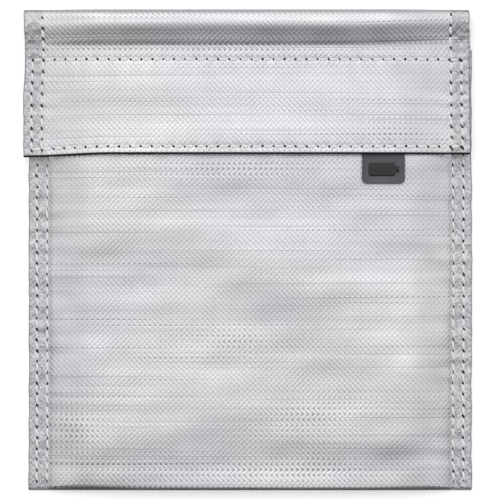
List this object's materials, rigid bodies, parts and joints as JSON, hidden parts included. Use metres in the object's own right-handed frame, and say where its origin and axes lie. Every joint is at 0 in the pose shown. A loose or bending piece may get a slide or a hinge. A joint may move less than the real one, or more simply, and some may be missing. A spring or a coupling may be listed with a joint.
{
  "type": "lipo safe bag",
  "caption": "Flat fire-resistant pouch of aluminised glass cloth with a fold-over hook-and-loop flap, for storing and charging lithium polymer battery packs.",
  "frame": {"origin": "middle of the flat back that the pouch lies on, under the middle of its outline", "axes": "+X to the right seen from the front, +Y from the bottom fold to the top fold, +Z out of the front"},
  "size_m": [0.2004, 0.2162, 0.0164],
  "materials": {
    "aluminised_cloth": "silver aluminised woven glass cloth, satin weave, half-gloss",
    "lining_cloth": "plain woven glass cloth, matte",
    "hook_tape": "black woven tape with stiff nylon hooks",
    "loop_tape": "black woven tape with soft brushed loops",
    "thread": "white spun heat-resistant sewing thread, slightly fuzzy",
    "label_rubber": "dark grey moulded rubber, satin",
    "label_mark": "black, glossy, standing proud of the label"
  },
  "bodies": {
    "pouch": {"back_panel": "aluminised_cloth", "back_lining": "lining_cloth", "bottom_fold": "aluminised_cloth", "left_side_hem": "aluminised_cloth", "right_side_hem": "aluminised_cloth", "left_outer_seam": "thread", "left_inner_seam": "thread", "right_outer_seam": "thread", "right_inner_seam": "thread"},
    "front": {"front_panel": "aluminised_cloth", "front_lining": "lining_cloth", "mouth_hem": "aluminised_cloth", "loop_tape": "loop_tape", "mouth_seam": "thread", "loop_tape_upper_seam": "thread", "loop_tape_lower_seam": "thread"},
    "top_fold": {"top_fold_panel": "aluminised_cloth", "top_fold_lining": "lining_cloth", "top_fold_left_seam": "thread", "top_fold_right_seam": "thread"},
    "flap": {"flap_panel": "aluminised_cloth", "flap_facing": "lining_cloth", "flap_left_hem": "aluminised_cloth", "flap_right_hem": "aluminised_cloth", "flap_end_hem": "aluminised_cloth", "hook_tape": "hook_tape", "label_tab_root": "label_rubber", "flap_end_seam": "thread", "flap_upper_seam": "thread", "flap_left_outer_seam": "thread", "flap_left_inner_seam": "thread", "flap_right_outer_seam": "thread", "flap_right_inner_seam": "thread"},
    "tab": {"label_tab": "label_rubber", "label_mark": "label_mark"}
  },
  "joints": [
    {"name": "top_fold_bend", "type": "hinge", "parent": "pouch", "child": "top_fold", "pos_m": [0, 0.10755, 0.0006], "axis": [-1, 0, 0], "range_deg": [0, 87]},
    {"name": "flap_fold", "type": "hinge", "parent": "top_fold", "child": "flap", "pos_m": [0, 0.10755, 0.0158], "axis": [-1, 0, 0], "range_deg": [0, 87]},
    {"name": "mouth_gape", "type": "hinge", "parent": "pouch", "child": "front", "pos_m": [0, -0.10555, 0.0026], "axis": [1, 0, 0], "range_deg": [0, 10]},
    {"name": "tab_flex", "type": "hinge", "parent": "flap", "child": "tab", "pos_m": [0.0605, 0.04315, 0.0139], "axis": [-1, 0, 0], "range_deg": [0, 30], "stiffness_Nm_per_rad": 0.001}
  ],
  "couplings": [
    {"joint": "flap_fold", "follows": "top_fold_bend", "ratio": 1},
    {"joint": "mouth_gape", "follows": "top_fold_bend", "ratio": 0.1111}
  ]
}
